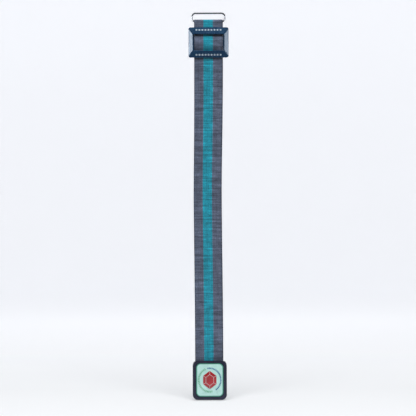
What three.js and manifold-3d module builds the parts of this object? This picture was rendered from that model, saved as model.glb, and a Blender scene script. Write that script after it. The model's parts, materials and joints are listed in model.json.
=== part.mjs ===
// A striped webbing belt: a wire end loop, a slide adjuster, the webbing and a badge-faced hook buckle.
//
// Millimetres. The belt hangs from its wire loop: +Z is up, +X is to the right, and the badge faces -Y.
// The origin is the middle of the wire loop's top bar.
//
// The webbing is sewn round the adjuster's bar, goes up behind to the wire loop, folds over its lower bar,
// comes down in front through the adjuster and ends folded and sewn round the buckle's pin.

import * as THREE from "three";
import { mergeVertices } from "three/addons/utils/BufferGeometryUtils.js";
import Module from "manifold-3d";

const wasm = await Module();
wasm.setup();

// ---- Driving dimensions ----------------------------------------------------------------------------

const GAP = 0.3; // between pieces that touch
const STRAP_WIDTH = 32;
const STRAP_THICKNESS = 1.5;
const TURN_GAP = 0.25; // between a wire or pin and the webbing that turns round it

const WIRE_RADIUS = 1;
const LOOP_WIDTH = 39.4; // over the wire
const LOOP_DROP = 9.8; // from the top bar to the lower bar, centre to centre
const LOOP_CORNER = 3.9;
const LOOP_BUTT_GAP = 0.4; // where the two ends of the wire meet
const FOLD_LEG = 1.55; // straight webbing under the fold, in front and behind

const ADJUSTER_TOP = -16.6;
const ADJUSTER_WIDTH = 46;
const ADJUSTER_HEIGHT = 34.6;
const ADJUSTER_CORNER = 2.2;
const ADJUSTER_BACK = -4; // the back face of its front frame
const ADJUSTER_EDGE = -5.1; // where the outer edge turns into the sloping face
const ADJUSTER_RIM = -7.4; // the rim of the window
const RIM_WIDTH = 0.7;
const WINDOW_WIDTH = 35.2;
const WINDOW_HEIGHT = 18.8;
const WINDOW_CORNER = 1.4;
const LUG_THICKNESS = 4.1;
const LUG_HEIGHT = 13;
const LUG_BACK = 3.9;

const BAR_THICKNESS = 1.8;
const BAR_HEIGHT = 6.5;
const BAR_SOCKET = 2;
const BAR_FIT = 0.2; // between the bar and the webbing sewn round it
const BAR_TURN_RADIUS = BAR_THICKNESS / 2 + BAR_FIT + STRAP_THICKNESS / 2;

const HUMP_HEIGHT = 3.35; // how far the webbing stands forward in the window
const HUMP_END = 0.65;
const HUMP_TUCK = 2; // how far it goes behind the frame's bars

const MAIN_TOP = -130; // the top of the webbing that is drawn up whole through the adjuster
const FIRST_HINGE = -225;
const HINGE_PITCH = 30;
const HINGE_COUNT = 6;
const HINGE_GAP = 0.8;

const BUCKLE_TOP = -397.8;
const BUCKLE_WIDTH = 39;
const BUCKLE_HEIGHT = 45;
const BUCKLE_CORNER = 6;
const BUCKLE_FRONT = -7.9;
const BUCKLE_ROUND = 0.9; // how far its front edge is rounded off
const BUCKLE_BACK = 3.1;
const BUCKLE_INSIDE = -4.6; // the inner face of its front wall
const STRAP_BAY_WIDTH = 34.4;
const STRAP_BAY_HEIGHT = 12;
const POCKET_WIDTH = 28.8;
const POCKET_TOP = -412;
const POCKET_BOTTOM = -438.6;

const PIN_RADIUS = 1.25;
const PIN_DROP = 5.5; // below the top of the buckle
const PIN_SOCKET = 1.3;
const HEM_END = -381.5; // where the sewn tail of the webbing ends
const STITCH_LENGTH = 26;
const STITCH_WIDTH = 0.7;
const STITCH_HEIGHT = 0.35;

const BADGE_WIDTH = 31;
const BADGE_HEIGHT = 38.1;
const BADGE_CORNER = 5.2;
const BADGE_RAISE = 0.35; // its centre above the buckle's centre
const BADGE_FRONT = -7.4;
const BADGE_THICKNESS = 0.8;
const EMBLEM_HEIGHT = 0.4;
const GEM_WIDTH = 15.6;
const GEM_HEIGHT = 21.4;
const GEM_SIDE = 9.6; // the height of its upright sides
const RING_WIDTH = 1.7;
const RING_HALF_WIDTH = 12.2; // the ring is a little taller than wide
const RING_HALF_HEIGHT = 13.5;

const PLATE_WIDTH = 36;
const PLATE_TOP = -409;
const PLATE_BOTTOM = -440.2;
const PLATE_CORNER = 4;
const PLATE_THICKNESS = 0.7;
const SCREW_X = 14.4;
const SCREW_ROWS = [-412.8, -436.6];
const SCREW_SHANK = 0.9;
const SCREW_HEAD = 1.9;
const SCREW_HEAD_HEIGHT = 0.8;
const SCREW_TIP = -1;
const BOSS_RADIUS = 2.6;

const HOOK_WIDTH = 18;
const HOOK_THICKNESS = 1.2;
const HOOK_TOP = -411;
const HOOK_BEND = -434.5; // the centre of its bend
const HOOK_MOUTH = 4.3;
const HOOK_FLARE = -423;
const HOOK_TIP = -419.3;
const HOOK_CORNER = 3;
const RIVET_X = 5;
const RIVET_Z = -415.5;
const RIVET_SHANK = 1.2;
const RIVET_HEAD = 2.2;
const RIVET_HEAD_HEIGHT = 0.8;

// ---- Worked out from them --------------------------------------------------------------------------

const TURN_RADIUS = WIRE_RADIUS + TURN_GAP + STRAP_THICKNESS / 2; // of the webbing's middle layer
const STRAP_Y = -TURN_RADIUS; // the front run's middle layer
const STRAP_FACE = STRAP_Y - STRAP_THICKNESS / 2; // its front face
const LOOP_LOW = -LOOP_DROP;
const RUN_TOP = LOOP_LOW - FOLD_LEG - GAP;
const ADJUSTER_Z = ADJUSTER_TOP - ADJUSTER_HEIGHT / 2;
const BAR_Y = STRAP_Y + STRAP_THICKNESS / 2 + GAP + STRAP_THICKNESS / 2 + BAR_TURN_RADIUS;
const WRAP_TOP = ADJUSTER_TOP - 4.6;
const LAST_HINGE = FIRST_HINGE - (HINGE_COUNT - 1) * HINGE_PITCH;
const PIN_TURN_RADIUS = PIN_RADIUS + TURN_GAP + STRAP_THICKNESS / 2;
const PIN_Y = STRAP_Y + PIN_TURN_RADIUS;
const PIN_Z = BUCKLE_TOP - PIN_DROP;
const HEM_Y = STRAP_Y + STRAP_THICKNESS + GAP;
const BUCKLE_Z = BUCKLE_TOP - BUCKLE_HEIGHT / 2;
const BADGE_Z = BUCKLE_Z + BADGE_RAISE;
const PLATE_FRONT = BUCKLE_BACK + GAP;
const PLATE_BACK = PLATE_FRONT + PLATE_THICKNESS;
const HOOK_Y = PLATE_BACK + GAP + HOOK_THICKNESS / 2;
const HOOK_TURN_RADIUS = (HOOK_MOUTH + HOOK_THICKNESS) / 2;

// ---- Materials -------------------------------------------------------------------------------------

const WEBBING = { color: 0x5f6475, roughness: 0.85, metalness: 0 };
const THREAD = { color: 0x4a4e5e, roughness: 0.8, metalness: 0 };
const CHROME = { color: 0xc8ccd0, roughness: 0.12, metalness: 1 };
const STEEL = { color: 0x9a9ea3, roughness: 0.35, metalness: 1 };
const NAVY = { color: 0x1f3a56, roughness: 0.2, metalness: 0 };
const BLACK = { color: 0x1e1e2e, roughness: 0.18, metalness: 0 };
const MINT = { color: 0xb4e4d8, roughness: 0.3, metalness: 0 };
const RED = { color: 0xa81c24, roughness: 0.3, metalness: 0 };
const GREEN = { color: 0x7fb79a, roughness: 0.3, metalness: 0 };
const BLUE = { color: 0x3f6f9a, roughness: 0.3, metalness: 0 };

// ---- Making and joining solids ---------------------------------------------------------------------

const ARC_STEPS = 12;
const ACROSS = new THREE.Matrix4().makeBasis(
  new THREE.Vector3(0, 1, 0),
  new THREE.Vector3(0, 0, 1),
  new THREE.Vector3(1, 0, 0),
);

function solidOf(geometry) {
  const plain = geometry.clone();
  plain.deleteAttribute("normal");
  plain.deleteAttribute("uv");
  const merged = mergeVertices(plain, 1e-4);
  return new wasm.Manifold(
    new wasm.Mesh({
      numProp: 3,
      vertProperties: merged.attributes.position.array,
      triVerts: new Uint32Array(merged.index.array),
    }),
  );
}

function geometryOf(solid) {
  const mesh = solid.getMesh();
  const geometry = new THREE.BufferGeometry();
  geometry.setAttribute("position", new THREE.BufferAttribute(mesh.vertProperties, 3));
  geometry.setIndex(new THREE.BufferAttribute(mesh.triVerts, 1));
  const faceted = geometry.toNonIndexed();
  faceted.computeVertexNormals();
  return faceted;
}

// Adds some geometries to the first and takes others away from it.
function carve(body, { add = [], cut = [] }) {
  let solid = solidOf(body);
  for (const geometry of add) solid = solid.add(solidOf(geometry));
  for (const geometry of cut) solid = solid.subtract(solidOf(geometry));
  return geometryOf(solid);
}

function roundedRectangle(width, height, radius) {
  const right = width / 2 - radius;
  const top = height / 2 - radius;
  const shape = new THREE.Shape();
  shape.absarc(right, top, radius, 0, Math.PI / 2, false);
  shape.absarc(-right, top, radius, Math.PI / 2, Math.PI, false);
  shape.absarc(-right, -top, radius, Math.PI, 1.5 * Math.PI, false);
  shape.absarc(right, -top, radius, 1.5 * Math.PI, 2 * Math.PI, false);
  shape.closePath();
  return shape;
}

// A shape drawn in X and Z, made into a plate from y = front to y = back.
function plate(shape, front, back) {
  const geometry = new THREE.ExtrudeGeometry(shape, {
    depth: back - front,
    bevelEnabled: false,
    curveSegments: 6,
  });
  return geometry.rotateX(Math.PI / 2).translate(0, back, 0);
}

// A profile drawn in Y and Z, made into a band that runs across, along X.
function band(profile, width) {
  const geometry = new THREE.ExtrudeGeometry(profile, {
    depth: width,
    bevelEnabled: false,
    curveSegments: 6,
  });
  return geometry.applyMatrix4(ACROSS).translate(-width / 2, 0, 0);
}

// The outline of a strip of even thickness along a smooth path.
function stripAlong(path, thickness) {
  const outer = [];
  const inner = [];
  const stretches = path.curves.filter((curve) => curve.getLength() > 1e-4);
  stretches.forEach((curve, index) => {
    const steps = curve.isLineCurve ? 1 : ARC_STEPS;
    for (let step = index ? 1 : 0; step <= steps; step++) {
      const point = curve.getPoint(step / steps);
      const tangent = curve.getTangent(step / steps);
      const side = new THREE.Vector2(-tangent.y, tangent.x).multiplyScalar(thickness / 2);
      outer.push(point.clone().add(side));
      inner.unshift(point.clone().sub(side));
    }
  });
  return new THREE.Shape([...outer, ...inner]);
}

function box(low, high) {
  const size = new THREE.Vector3().subVectors(high, low);
  const middle = new THREE.Vector3().addVectors(low, high).multiplyScalar(0.5);
  return new THREE.BoxGeometry(size.x, size.y, size.z).translate(middle.x, middle.y, middle.z);
}

function boxAcross(width, front, back, bottom, top) {
  return box(new THREE.Vector3(-width / 2, front, bottom), new THREE.Vector3(width / 2, back, top));
}

// A round bar along Y, and one along X.
function rodAlongY(radius, front, back, x, z) {
  return new THREE.CylinderGeometry(radius, radius, back - front, 16).translate(x, (front + back) / 2, z);
}

function rodAlongX(radius, length, y, z) {
  return new THREE.CylinderGeometry(radius, radius, length, 20).rotateZ(Math.PI / 2).translate(0, y, z);
}

// A closed solid through rounded rectangles, listed from the front to the back.
function loft(rings) {
  const cornerSteps = 5;
  const loops = rings.map(({ width, height, radius, y }) => {
    const points = [];
    for (let corner = 0; corner < 4; corner++) {
      const centreX = (corner === 0 || corner === 3 ? 1 : -1) * (width / 2 - radius);
      const centreZ = (corner < 2 ? 1 : -1) * (height / 2 - radius);
      for (let step = 0; step <= cornerSteps; step++) {
        const angle = ((corner + step / cornerSteps) * Math.PI) / 2;
        const x = centreX + radius * Math.cos(angle);
        const z = centreZ + radius * Math.sin(angle);
        points.push([x, y, z]);
      }
    }
    return points;
  });
  const count = loops[0].length;
  const positions = loops.flat(2);
  const indices = [];
  for (let ring = 0; ring + 1 < loops.length; ring++) {
    for (let i = 0; i < count; i++) {
      const next = (i + 1) % count;
      const front = ring * count;
      const back = front + count;
      indices.push(front + i, back + i, front + next);
      indices.push(front + next, back + i, back + next);
    }
  }
  const frontMiddle = positions.length / 3;
  positions.push(0, rings[0].y, 0, 0, rings[rings.length - 1].y, 0);
  const lastRing = (loops.length - 1) * count;
  for (let i = 0; i < count; i++) {
    const next = (i + 1) % count;
    indices.push(frontMiddle, i, next);
    indices.push(frontMiddle + 1, lastRing + next, lastRing + i);
  }
  const geometry = new THREE.BufferGeometry();
  geometry.setAttribute("position", new THREE.Float32BufferAttribute(positions, 3));
  geometry.setIndex(indices);
  return geometry;
}

// ---- The wire loop ---------------------------------------------------------------------------------

const belt = new THREE.Group();

function addPiece(name, geometry, finish, x = 0, z = 0) {
  const material = new THREE.MeshStandardMaterial(finish);
  const mesh = new THREE.Mesh(geometry, material);
  mesh.name = name;
  mesh.position.set(x, 0, z);
  belt.add(mesh);
}

// One length of wire, bent round until its ends meet in the middle of the lower bar.
function wireLoop() {
  const right = LOOP_WIDTH / 2 - WIRE_RADIUS;
  const straightEnd = right - LOOP_CORNER;
  const corner = (fromX, fromZ, throughX, throughZ, toX, toZ) =>
    new THREE.QuadraticBezierCurve3(
      new THREE.Vector3(fromX, 0, fromZ),
      new THREE.Vector3(throughX, 0, throughZ),
      new THREE.Vector3(toX, 0, toZ),
    );
  const line = (fromX, fromZ, toX, toZ) =>
    new THREE.LineCurve3(new THREE.Vector3(fromX, 0, fromZ), new THREE.Vector3(toX, 0, toZ));
  const path = new THREE.CurvePath();
  const buttX = LOOP_BUTT_GAP / 2;
  path.add(line(buttX, LOOP_LOW, straightEnd, LOOP_LOW));
  path.add(corner(straightEnd, LOOP_LOW, right, LOOP_LOW, right, LOOP_LOW + LOOP_CORNER));
  path.add(line(right, LOOP_LOW + LOOP_CORNER, right, -LOOP_CORNER));
  path.add(corner(right, -LOOP_CORNER, right, 0, straightEnd, 0));
  path.add(line(straightEnd, 0, -straightEnd, 0));
  path.add(corner(-straightEnd, 0, -right, 0, -right, -LOOP_CORNER));
  path.add(line(-right, -LOOP_CORNER, -right, LOOP_LOW + LOOP_CORNER));
  path.add(corner(-right, LOOP_LOW + LOOP_CORNER, -right, LOOP_LOW, -straightEnd, LOOP_LOW));
  path.add(line(-straightEnd, LOOP_LOW, -buttX, LOOP_LOW));
  const section = new THREE.Shape().absarc(0, 0, WIRE_RADIUS, 0, 2 * Math.PI, false);
  return new THREE.ExtrudeGeometry(section, { steps: 96, curveSegments: 6, extrudePath: path });
}

addPiece("wire_loop", wireLoop(), CHROME);

// ---- The webbing at the wire loop ------------------------------------------------------------------

function strapFold() {
  const path = new THREE.Path();
  path.moveTo(-TURN_RADIUS, LOOP_LOW - FOLD_LEG);
  path.lineTo(-TURN_RADIUS, LOOP_LOW);
  path.absarc(0, LOOP_LOW, TURN_RADIUS, Math.PI, 0, true);
  path.lineTo(TURN_RADIUS, LOOP_LOW - FOLD_LEG);
  return band(stripAlong(path, STRAP_THICKNESS), STRAP_WIDTH);
}

function straightStrap(y, bottom, top) {
  return boxAcross(STRAP_WIDTH, y - STRAP_THICKNESS / 2, y + STRAP_THICKNESS / 2, bottom, top);
}

addPiece("strap_fold", strapFold(), WEBBING);
addPiece("strap_front_run", straightStrap(STRAP_Y, MAIN_TOP + GAP, RUN_TOP), WEBBING);
addPiece("strap_back_run", straightStrap(TURN_RADIUS, WRAP_TOP + GAP, RUN_TOP), WEBBING);

// ---- The slide adjuster ----------------------------------------------------------------------------

// A moulded picture frame whose faces slope out from the window's rim, with a lug behind each side that
// holds one end of the bar.
function adjusterFrame() {
  const body = loft([
    {
      width: WINDOW_WIDTH + 2 * RIM_WIDTH,
      height: WINDOW_HEIGHT + 2 * RIM_WIDTH,
      radius: WINDOW_CORNER,
      y: ADJUSTER_RIM,
    },
    { width: ADJUSTER_WIDTH, height: ADJUSTER_HEIGHT, radius: ADJUSTER_CORNER, y: ADJUSTER_EDGE },
    { width: ADJUSTER_WIDTH, height: ADJUSTER_HEIGHT, radius: ADJUSTER_CORNER, y: ADJUSTER_BACK },
  ]);
  const windowOpening = plate(
    roundedRectangle(WINDOW_WIDTH, WINDOW_HEIGHT, WINDOW_CORNER),
    ADJUSTER_RIM - 1,
    ADJUSTER_BACK + 1,
  );
  const lugMiddle = (WINDOW_WIDTH + LUG_THICKNESS) / 2;
  const lugShape = roundedRectangle(LUG_BACK - ADJUSTER_BACK + 1, LUG_HEIGHT, 1.5);
  const lugs = [-1, 1].map((side) =>
    band(lugShape, LUG_THICKNESS).translate(side * lugMiddle, (LUG_BACK + ADJUSTER_BACK - 1) / 2, 0),
  );
  const socket = boxAcross(
    WINDOW_WIDTH + 2 * BAR_SOCKET,
    BAR_Y - BAR_THICKNESS / 2 - BAR_FIT,
    BAR_Y + BAR_THICKNESS / 2 + BAR_FIT,
    -BAR_HEIGHT / 2 - BAR_FIT,
    BAR_HEIGHT / 2 + BAR_FIT,
  );
  return carve(body, { add: lugs, cut: [windowOpening, socket] });
}

function adjusterBar() {
  const section = roundedRectangle(BAR_THICKNESS, BAR_HEIGHT, BAR_THICKNESS / 2 - 0.01);
  return band(section, WINDOW_WIDTH + 2 * (BAR_SOCKET - GAP)).translate(0, BAR_Y, 0);
}

// The end of the webbing: down behind the bar, round under it and up in front, then sewn to itself.
function strapBarWrap() {
  const behind = BAR_Y + BAR_TURN_RADIUS;
  const inFront = BAR_Y - BAR_TURN_RADIUS;
  const sewnY = TURN_RADIUS - STRAP_THICKNESS - GAP;
  const turnZ = ADJUSTER_Z - BAR_HEIGHT / 2 + BAR_THICKNESS / 2;
  const barTop = ADJUSTER_Z + BAR_HEIGHT / 2;
  const path = new THREE.Path();
  path.moveTo(TURN_RADIUS, WRAP_TOP);
  path.bezierCurveTo(TURN_RADIUS, WRAP_TOP - 4.5, behind, barTop + 4, behind, barTop);
  path.absarc(BAR_Y, turnZ, BAR_TURN_RADIUS, 0, -Math.PI, true);
  path.lineTo(inFront, barTop);
  path.bezierCurveTo(inFront, barTop + 2.5, sewnY, WRAP_TOP - 4, sewnY, WRAP_TOP - 1.5);
  path.lineTo(sewnY, WRAP_TOP + 1.3);
  return band(stripAlong(path, STRAP_THICKNESS), STRAP_WIDTH);
}

// The part of the webbing that crosses the bar, standing forward in the window.
function strapOverBar() {
  const back = STRAP_FACE - GAP;
  const ends = back - HUMP_END;
  const peak = back - HUMP_HEIGHT;
  const archHalf = WINDOW_HEIGHT / 2 - 0.4;
  const low = -WINDOW_HEIGHT / 2 - HUMP_TUCK;
  const profile = new THREE.Shape();
  profile.moveTo(back, low);
  profile.lineTo(back, -low);
  profile.lineTo(ends, -low);
  profile.lineTo(ends, archHalf);
  profile.bezierCurveTo(peak + 0.6, archHalf - 1.6, peak, archHalf / 2, peak, 0);
  profile.bezierCurveTo(peak, -archHalf / 2, peak + 0.6, 1.6 - archHalf, ends, -archHalf);
  profile.lineTo(ends, low);
  profile.closePath();
  return band(profile, STRAP_WIDTH);
}

// A sewn row, lying on the webbing face at y = face.
function stitchRow(face) {
  return boxAcross(STITCH_LENGTH, face + GAP, face + GAP + STITCH_HEIGHT, -STITCH_WIDTH / 2, STITCH_WIDTH / 2);
}

const wrapFace = TURN_RADIUS + STRAP_THICKNESS / 2;

addPiece("adjuster_frame", adjusterFrame(), NAVY, 0, ADJUSTER_Z);
addPiece("adjuster_bar", adjusterBar(), STEEL, 0, ADJUSTER_Z);
addPiece("strap_bar_wrap", strapBarWrap(), WEBBING);
addPiece("bar_stitching_upper", stitchRow(wrapFace), THREAD, 0, WRAP_TOP - 0.8);
addPiece("bar_stitching_lower", stitchRow(wrapFace + 0.1), THREAD, 0, WRAP_TOP - 2.6);
addPiece("strap_over_bar", strapOverBar(), WEBBING, 0, ADJUSTER_Z);

// ---- The long run of webbing, in lengths that bend at the gaps between them ---------------------------

addPiece("strap_upper", straightStrap(STRAP_Y, FIRST_HINGE + HINGE_GAP / 2, MAIN_TOP), WEBBING);
for (let index = 1; index < HINGE_COUNT; index++) {
  const top = FIRST_HINGE - (index - 1) * HINGE_PITCH - HINGE_GAP / 2;
  const bottom = FIRST_HINGE - index * HINGE_PITCH + HINGE_GAP / 2;
  addPiece("strap_segment_" + index, straightStrap(STRAP_Y, bottom, top), WEBBING);
}

// The last length goes round the buckle's pin and back up behind itself as a sewn hem.
function strapEnd() {
  const path = new THREE.Path();
  path.moveTo(STRAP_Y, LAST_HINGE - HINGE_GAP / 2);
  path.lineTo(STRAP_Y, PIN_Z);
  path.absarc(PIN_Y, PIN_Z, PIN_TURN_RADIUS, Math.PI, 2 * Math.PI, false);
  path.bezierCurveTo(PIN_Y + PIN_TURN_RADIUS, PIN_Z + 4, HEM_Y, PIN_Z + 5.5, HEM_Y, PIN_Z + 10);
  path.lineTo(HEM_Y, HEM_END);
  return band(stripAlong(path, STRAP_THICKNESS), STRAP_WIDTH);
}

const hemFace = HEM_Y + STRAP_THICKNESS / 2;

addPiece("strap_end", strapEnd(), WEBBING);
addPiece("hem_stitching_upper", stitchRow(hemFace), THREAD, 0, HEM_END - 2.2);
addPiece("hem_stitching_lower", stitchRow(hemFace), THREAD, 0, HEM_END - 9.6);

// ---- The buckle ------------------------------------------------------------------------------------

// A moulded case, open behind and at the top, where the webbing comes in to its pin.
function buckleFrame() {
  const inner = BUCKLE_ROUND * 0.7;
  const body = loft([
    {
      width: BUCKLE_WIDTH - 2 * BUCKLE_ROUND,
      height: BUCKLE_HEIGHT - 2 * BUCKLE_ROUND,
      radius: BUCKLE_CORNER - BUCKLE_ROUND,
      y: BUCKLE_FRONT,
    },
    {
      width: BUCKLE_WIDTH - 2 * (BUCKLE_ROUND - inner),
      height: BUCKLE_HEIGHT - 2 * (BUCKLE_ROUND - inner),
      radius: BUCKLE_CORNER - BUCKLE_ROUND + inner,
      y: BUCKLE_FRONT + BUCKLE_ROUND - inner,
    },
    { width: BUCKLE_WIDTH, height: BUCKLE_HEIGHT, radius: BUCKLE_CORNER, y: BUCKLE_FRONT + BUCKLE_ROUND },
    { width: BUCKLE_WIDTH, height: BUCKLE_HEIGHT, radius: BUCKLE_CORNER, y: BUCKLE_BACK },
  ]).translate(0, 0, BUCKLE_Z);
  const recess = plate(
    roundedRectangle(BADGE_WIDTH + 2 * GAP, BADGE_HEIGHT + 2 * GAP, BADGE_CORNER + GAP),
    BUCKLE_FRONT - 1,
    BADGE_FRONT + BADGE_THICKNESS + GAP,
  ).translate(0, 0, BADGE_Z);
  const strapBay = boxAcross(
    STRAP_BAY_WIDTH,
    BUCKLE_INSIDE,
    BUCKLE_BACK + 1,
    BUCKLE_TOP - STRAP_BAY_HEIGHT,
    BUCKLE_TOP + 1,
  );
  const topChamfer = new THREE.Shape();
  topChamfer.moveTo(BUCKLE_INSIDE + 1, BUCKLE_TOP - 2.5);
  topChamfer.lineTo(BUCKLE_INSIDE - 1.9, BUCKLE_TOP + 0.4);
  topChamfer.lineTo(BUCKLE_INSIDE + 1, BUCKLE_TOP + 0.4);
  topChamfer.closePath();
  const pocket = boxAcross(POCKET_WIDTH, BUCKLE_INSIDE, BUCKLE_BACK + 1, POCKET_BOTTOM, POCKET_TOP);
  const pinSocket = rodAlongX(PIN_RADIUS + GAP, STRAP_BAY_WIDTH + 2 * PIN_SOCKET, PIN_Y, PIN_Z);
  const hollows = [recess, strapBay, band(topChamfer, STRAP_BAY_WIDTH), pocket, pinSocket];
  const hollowed = carve(body, { cut: hollows });
  const corners = [-1, 1].flatMap((side) => SCREW_ROWS.map((z) => [side * SCREW_X, z]));
  const bosses = corners.map(([x, z]) => rodAlongY(BOSS_RADIUS, BUCKLE_INSIDE - 0.5, BUCKLE_BACK, x, z));
  const screwHoles = corners.map(([x, z]) =>
    rodAlongY(SCREW_SHANK + GAP, SCREW_TIP - GAP, BUCKLE_BACK + 1, x, z),
  );
  return carve(hollowed, { add: bosses, cut: screwHoles });
}

function backPlate() {
  const middle = (PLATE_TOP + PLATE_BOTTOM) / 2;
  const outline = roundedRectangle(PLATE_WIDTH, PLATE_TOP - PLATE_BOTTOM, PLATE_CORNER);
  const body = plate(outline, PLATE_FRONT, PLATE_BACK).translate(0, 0, middle);
  const screwHoles = [-1, 1].flatMap((side) =>
    SCREW_ROWS.map((z) => rodAlongY(SCREW_SHANK + GAP, PLATE_FRONT - 1, PLATE_BACK + 1, side * SCREW_X, z)),
  );
  const rivetHoles = [-1, 1].map((side) =>
    rodAlongY(RIVET_SHANK + GAP, PLATE_FRONT - 1, PLATE_BACK + 1, side * RIVET_X, RIVET_Z),
  );
  return carve(body, { cut: [...screwHoles, ...rivetHoles] });
}

// A steel strip riveted flat, bent back up at the bottom: the wire loop drops into the bend.
function buckleHook() {
  const legY = HOOK_Y + 2 * HOOK_TURN_RADIUS;
  const path = new THREE.Path();
  path.moveTo(HOOK_Y, HOOK_TOP);
  path.lineTo(HOOK_Y, HOOK_BEND);
  path.absarc(HOOK_Y + HOOK_TURN_RADIUS, HOOK_BEND, HOOK_TURN_RADIUS, Math.PI, 2 * Math.PI, false);
  path.lineTo(legY, HOOK_FLARE);
  path.bezierCurveTo(legY, HOOK_FLARE + 1.6, legY + 0.5, HOOK_TIP - 1, legY + 1, HOOK_TIP);
  const strip = band(stripAlong(path, HOOK_THICKNESS), HOOK_WIDTH);
  const cornerCut = (side, z, front, back) => {
    const x = side * (HOOK_WIDTH / 2 - HOOK_CORNER);
    const square = box(
      new THREE.Vector3(Math.min(x, x + side * 4), front, z - HOOK_CORNER),
      new THREE.Vector3(Math.max(x, x + side * 4), back, z + 1),
    );
    return carve(square, { cut: [rodAlongY(HOOK_CORNER, front - 1, back + 1, x, z - HOOK_CORNER)] });
  };
  const rivetHoles = [-1, 1].map((side) =>
    rodAlongY(RIVET_SHANK + GAP, HOOK_Y - 1, HOOK_Y + 1, side * RIVET_X, RIVET_Z),
  );
  const corners = [-1, 1].flatMap((side) => [
    cornerCut(side, HOOK_TOP, HOOK_Y - 1, HOOK_Y + 1),
    cornerCut(side, HOOK_TIP + 0.3, legY - 1, legY + 2.5),
  ]);
  return carve(strip, { cut: [...rivetHoles, ...corners] });
}

function turned(outline) {
  const points = outline.map(([radius, y]) => new THREE.Vector2(radius, y));
  return new THREE.LatheGeometry(points, 16);
}

function rivet() {
  const insideHead = PLATE_FRONT - GAP;
  const outsideHead = HOOK_Y + HOOK_THICKNESS / 2 + GAP;
  return turned([
    [0, insideHead - RIVET_HEAD_HEIGHT],
    [RIVET_HEAD * 0.8, insideHead - RIVET_HEAD_HEIGHT],
    [RIVET_HEAD, insideHead - RIVET_HEAD_HEIGHT / 2],
    [RIVET_HEAD, insideHead],
    [RIVET_SHANK, insideHead],
    [RIVET_SHANK, outsideHead],
    [RIVET_HEAD, outsideHead],
    [RIVET_HEAD * 0.9, outsideHead + RIVET_HEAD_HEIGHT / 2],
    [RIVET_HEAD * 0.5, outsideHead + RIVET_HEAD_HEIGHT],
    [0, outsideHead + RIVET_HEAD_HEIGHT],
  ]);
}

function screw() {
  const underHead = PLATE_BACK + GAP;
  return turned([
    [0, SCREW_TIP],
    [SCREW_SHANK, SCREW_TIP + 0.6],
    [SCREW_SHANK, underHead],
    [SCREW_HEAD, underHead],
    [SCREW_HEAD, underHead + SCREW_HEAD_HEIGHT / 2],
    [SCREW_HEAD * 0.75, underHead + SCREW_HEAD_HEIGHT],
    [0, underHead + SCREW_HEAD_HEIGHT],
  ]);
}

function strapPin() {
  return rodAlongX(PIN_RADIUS, STRAP_BAY_WIDTH + 2 * (PIN_SOCKET - GAP), PIN_Y, PIN_Z);
}

addPiece("buckle_frame", buckleFrame(), BLACK);
addPiece("strap_pin", strapPin(), STEEL);
addPiece("buckle_back_plate", backPlate(), STEEL);
addPiece("buckle_hook", buckleHook(), STEEL);
addPiece("hook_rivet_left", rivet(), STEEL, -RIVET_X, RIVET_Z);
addPiece("hook_rivet_right", rivet(), STEEL, RIVET_X, RIVET_Z);
SCREW_ROWS.forEach((z, row) => {
  addPiece("plate_screw_" + (2 * row + 1), screw(), STEEL, -SCREW_X, z);
  addPiece("plate_screw_" + (2 * row + 2), screw(), STEEL, SCREW_X, z);
});

// ---- The badge in the front of the buckle ----------------------------------------------------------

function badgePlate() {
  const outline = roundedRectangle(BADGE_WIDTH, BADGE_HEIGHT, BADGE_CORNER);
  return plate(outline, BADGE_FRONT, BADGE_FRONT + BADGE_THICKNESS);
}

function emblemPlate(shape) {
  return plate(shape, BADGE_FRONT - GAP - EMBLEM_HEIGHT, BADGE_FRONT - GAP);
}

// An upright six-sided gem.
function emblemGem() {
  const outline = [
    [0, GEM_HEIGHT / 2],
    [-GEM_WIDTH / 2, GEM_SIDE / 2],
    [-GEM_WIDTH / 2, -GEM_SIDE / 2],
    [0, -GEM_HEIGHT / 2],
    [GEM_WIDTH / 2, -GEM_SIDE / 2],
    [GEM_WIDTH / 2, GEM_SIDE / 2],
  ];
  return emblemPlate(new THREE.Shape(outline.map(([x, z]) => new THREE.Vector2(x, z))));
}

function emblemArc(fromDegrees, toDegrees) {
  const path = new THREE.Path();
  const from = THREE.MathUtils.degToRad(fromDegrees);
  const to = THREE.MathUtils.degToRad(toDegrees);
  path.absellipse(0, 0, RING_HALF_WIDTH, RING_HALF_HEIGHT, from, to, false, 0);
  return emblemPlate(stripAlong(path, RING_WIDTH));
}

addPiece("badge_plate", badgePlate(), MINT, 0, BADGE_Z);
addPiece("emblem_gem", emblemGem(), RED, 0, BADGE_Z);
addPiece("emblem_ring_left", emblemArc(112, 285), GREEN, 0, BADGE_Z);
addPiece("emblem_ring_right", emblemArc(-58, 103), BLUE, 0, BADGE_Z);

export default belt;
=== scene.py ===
import json
import math

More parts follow.
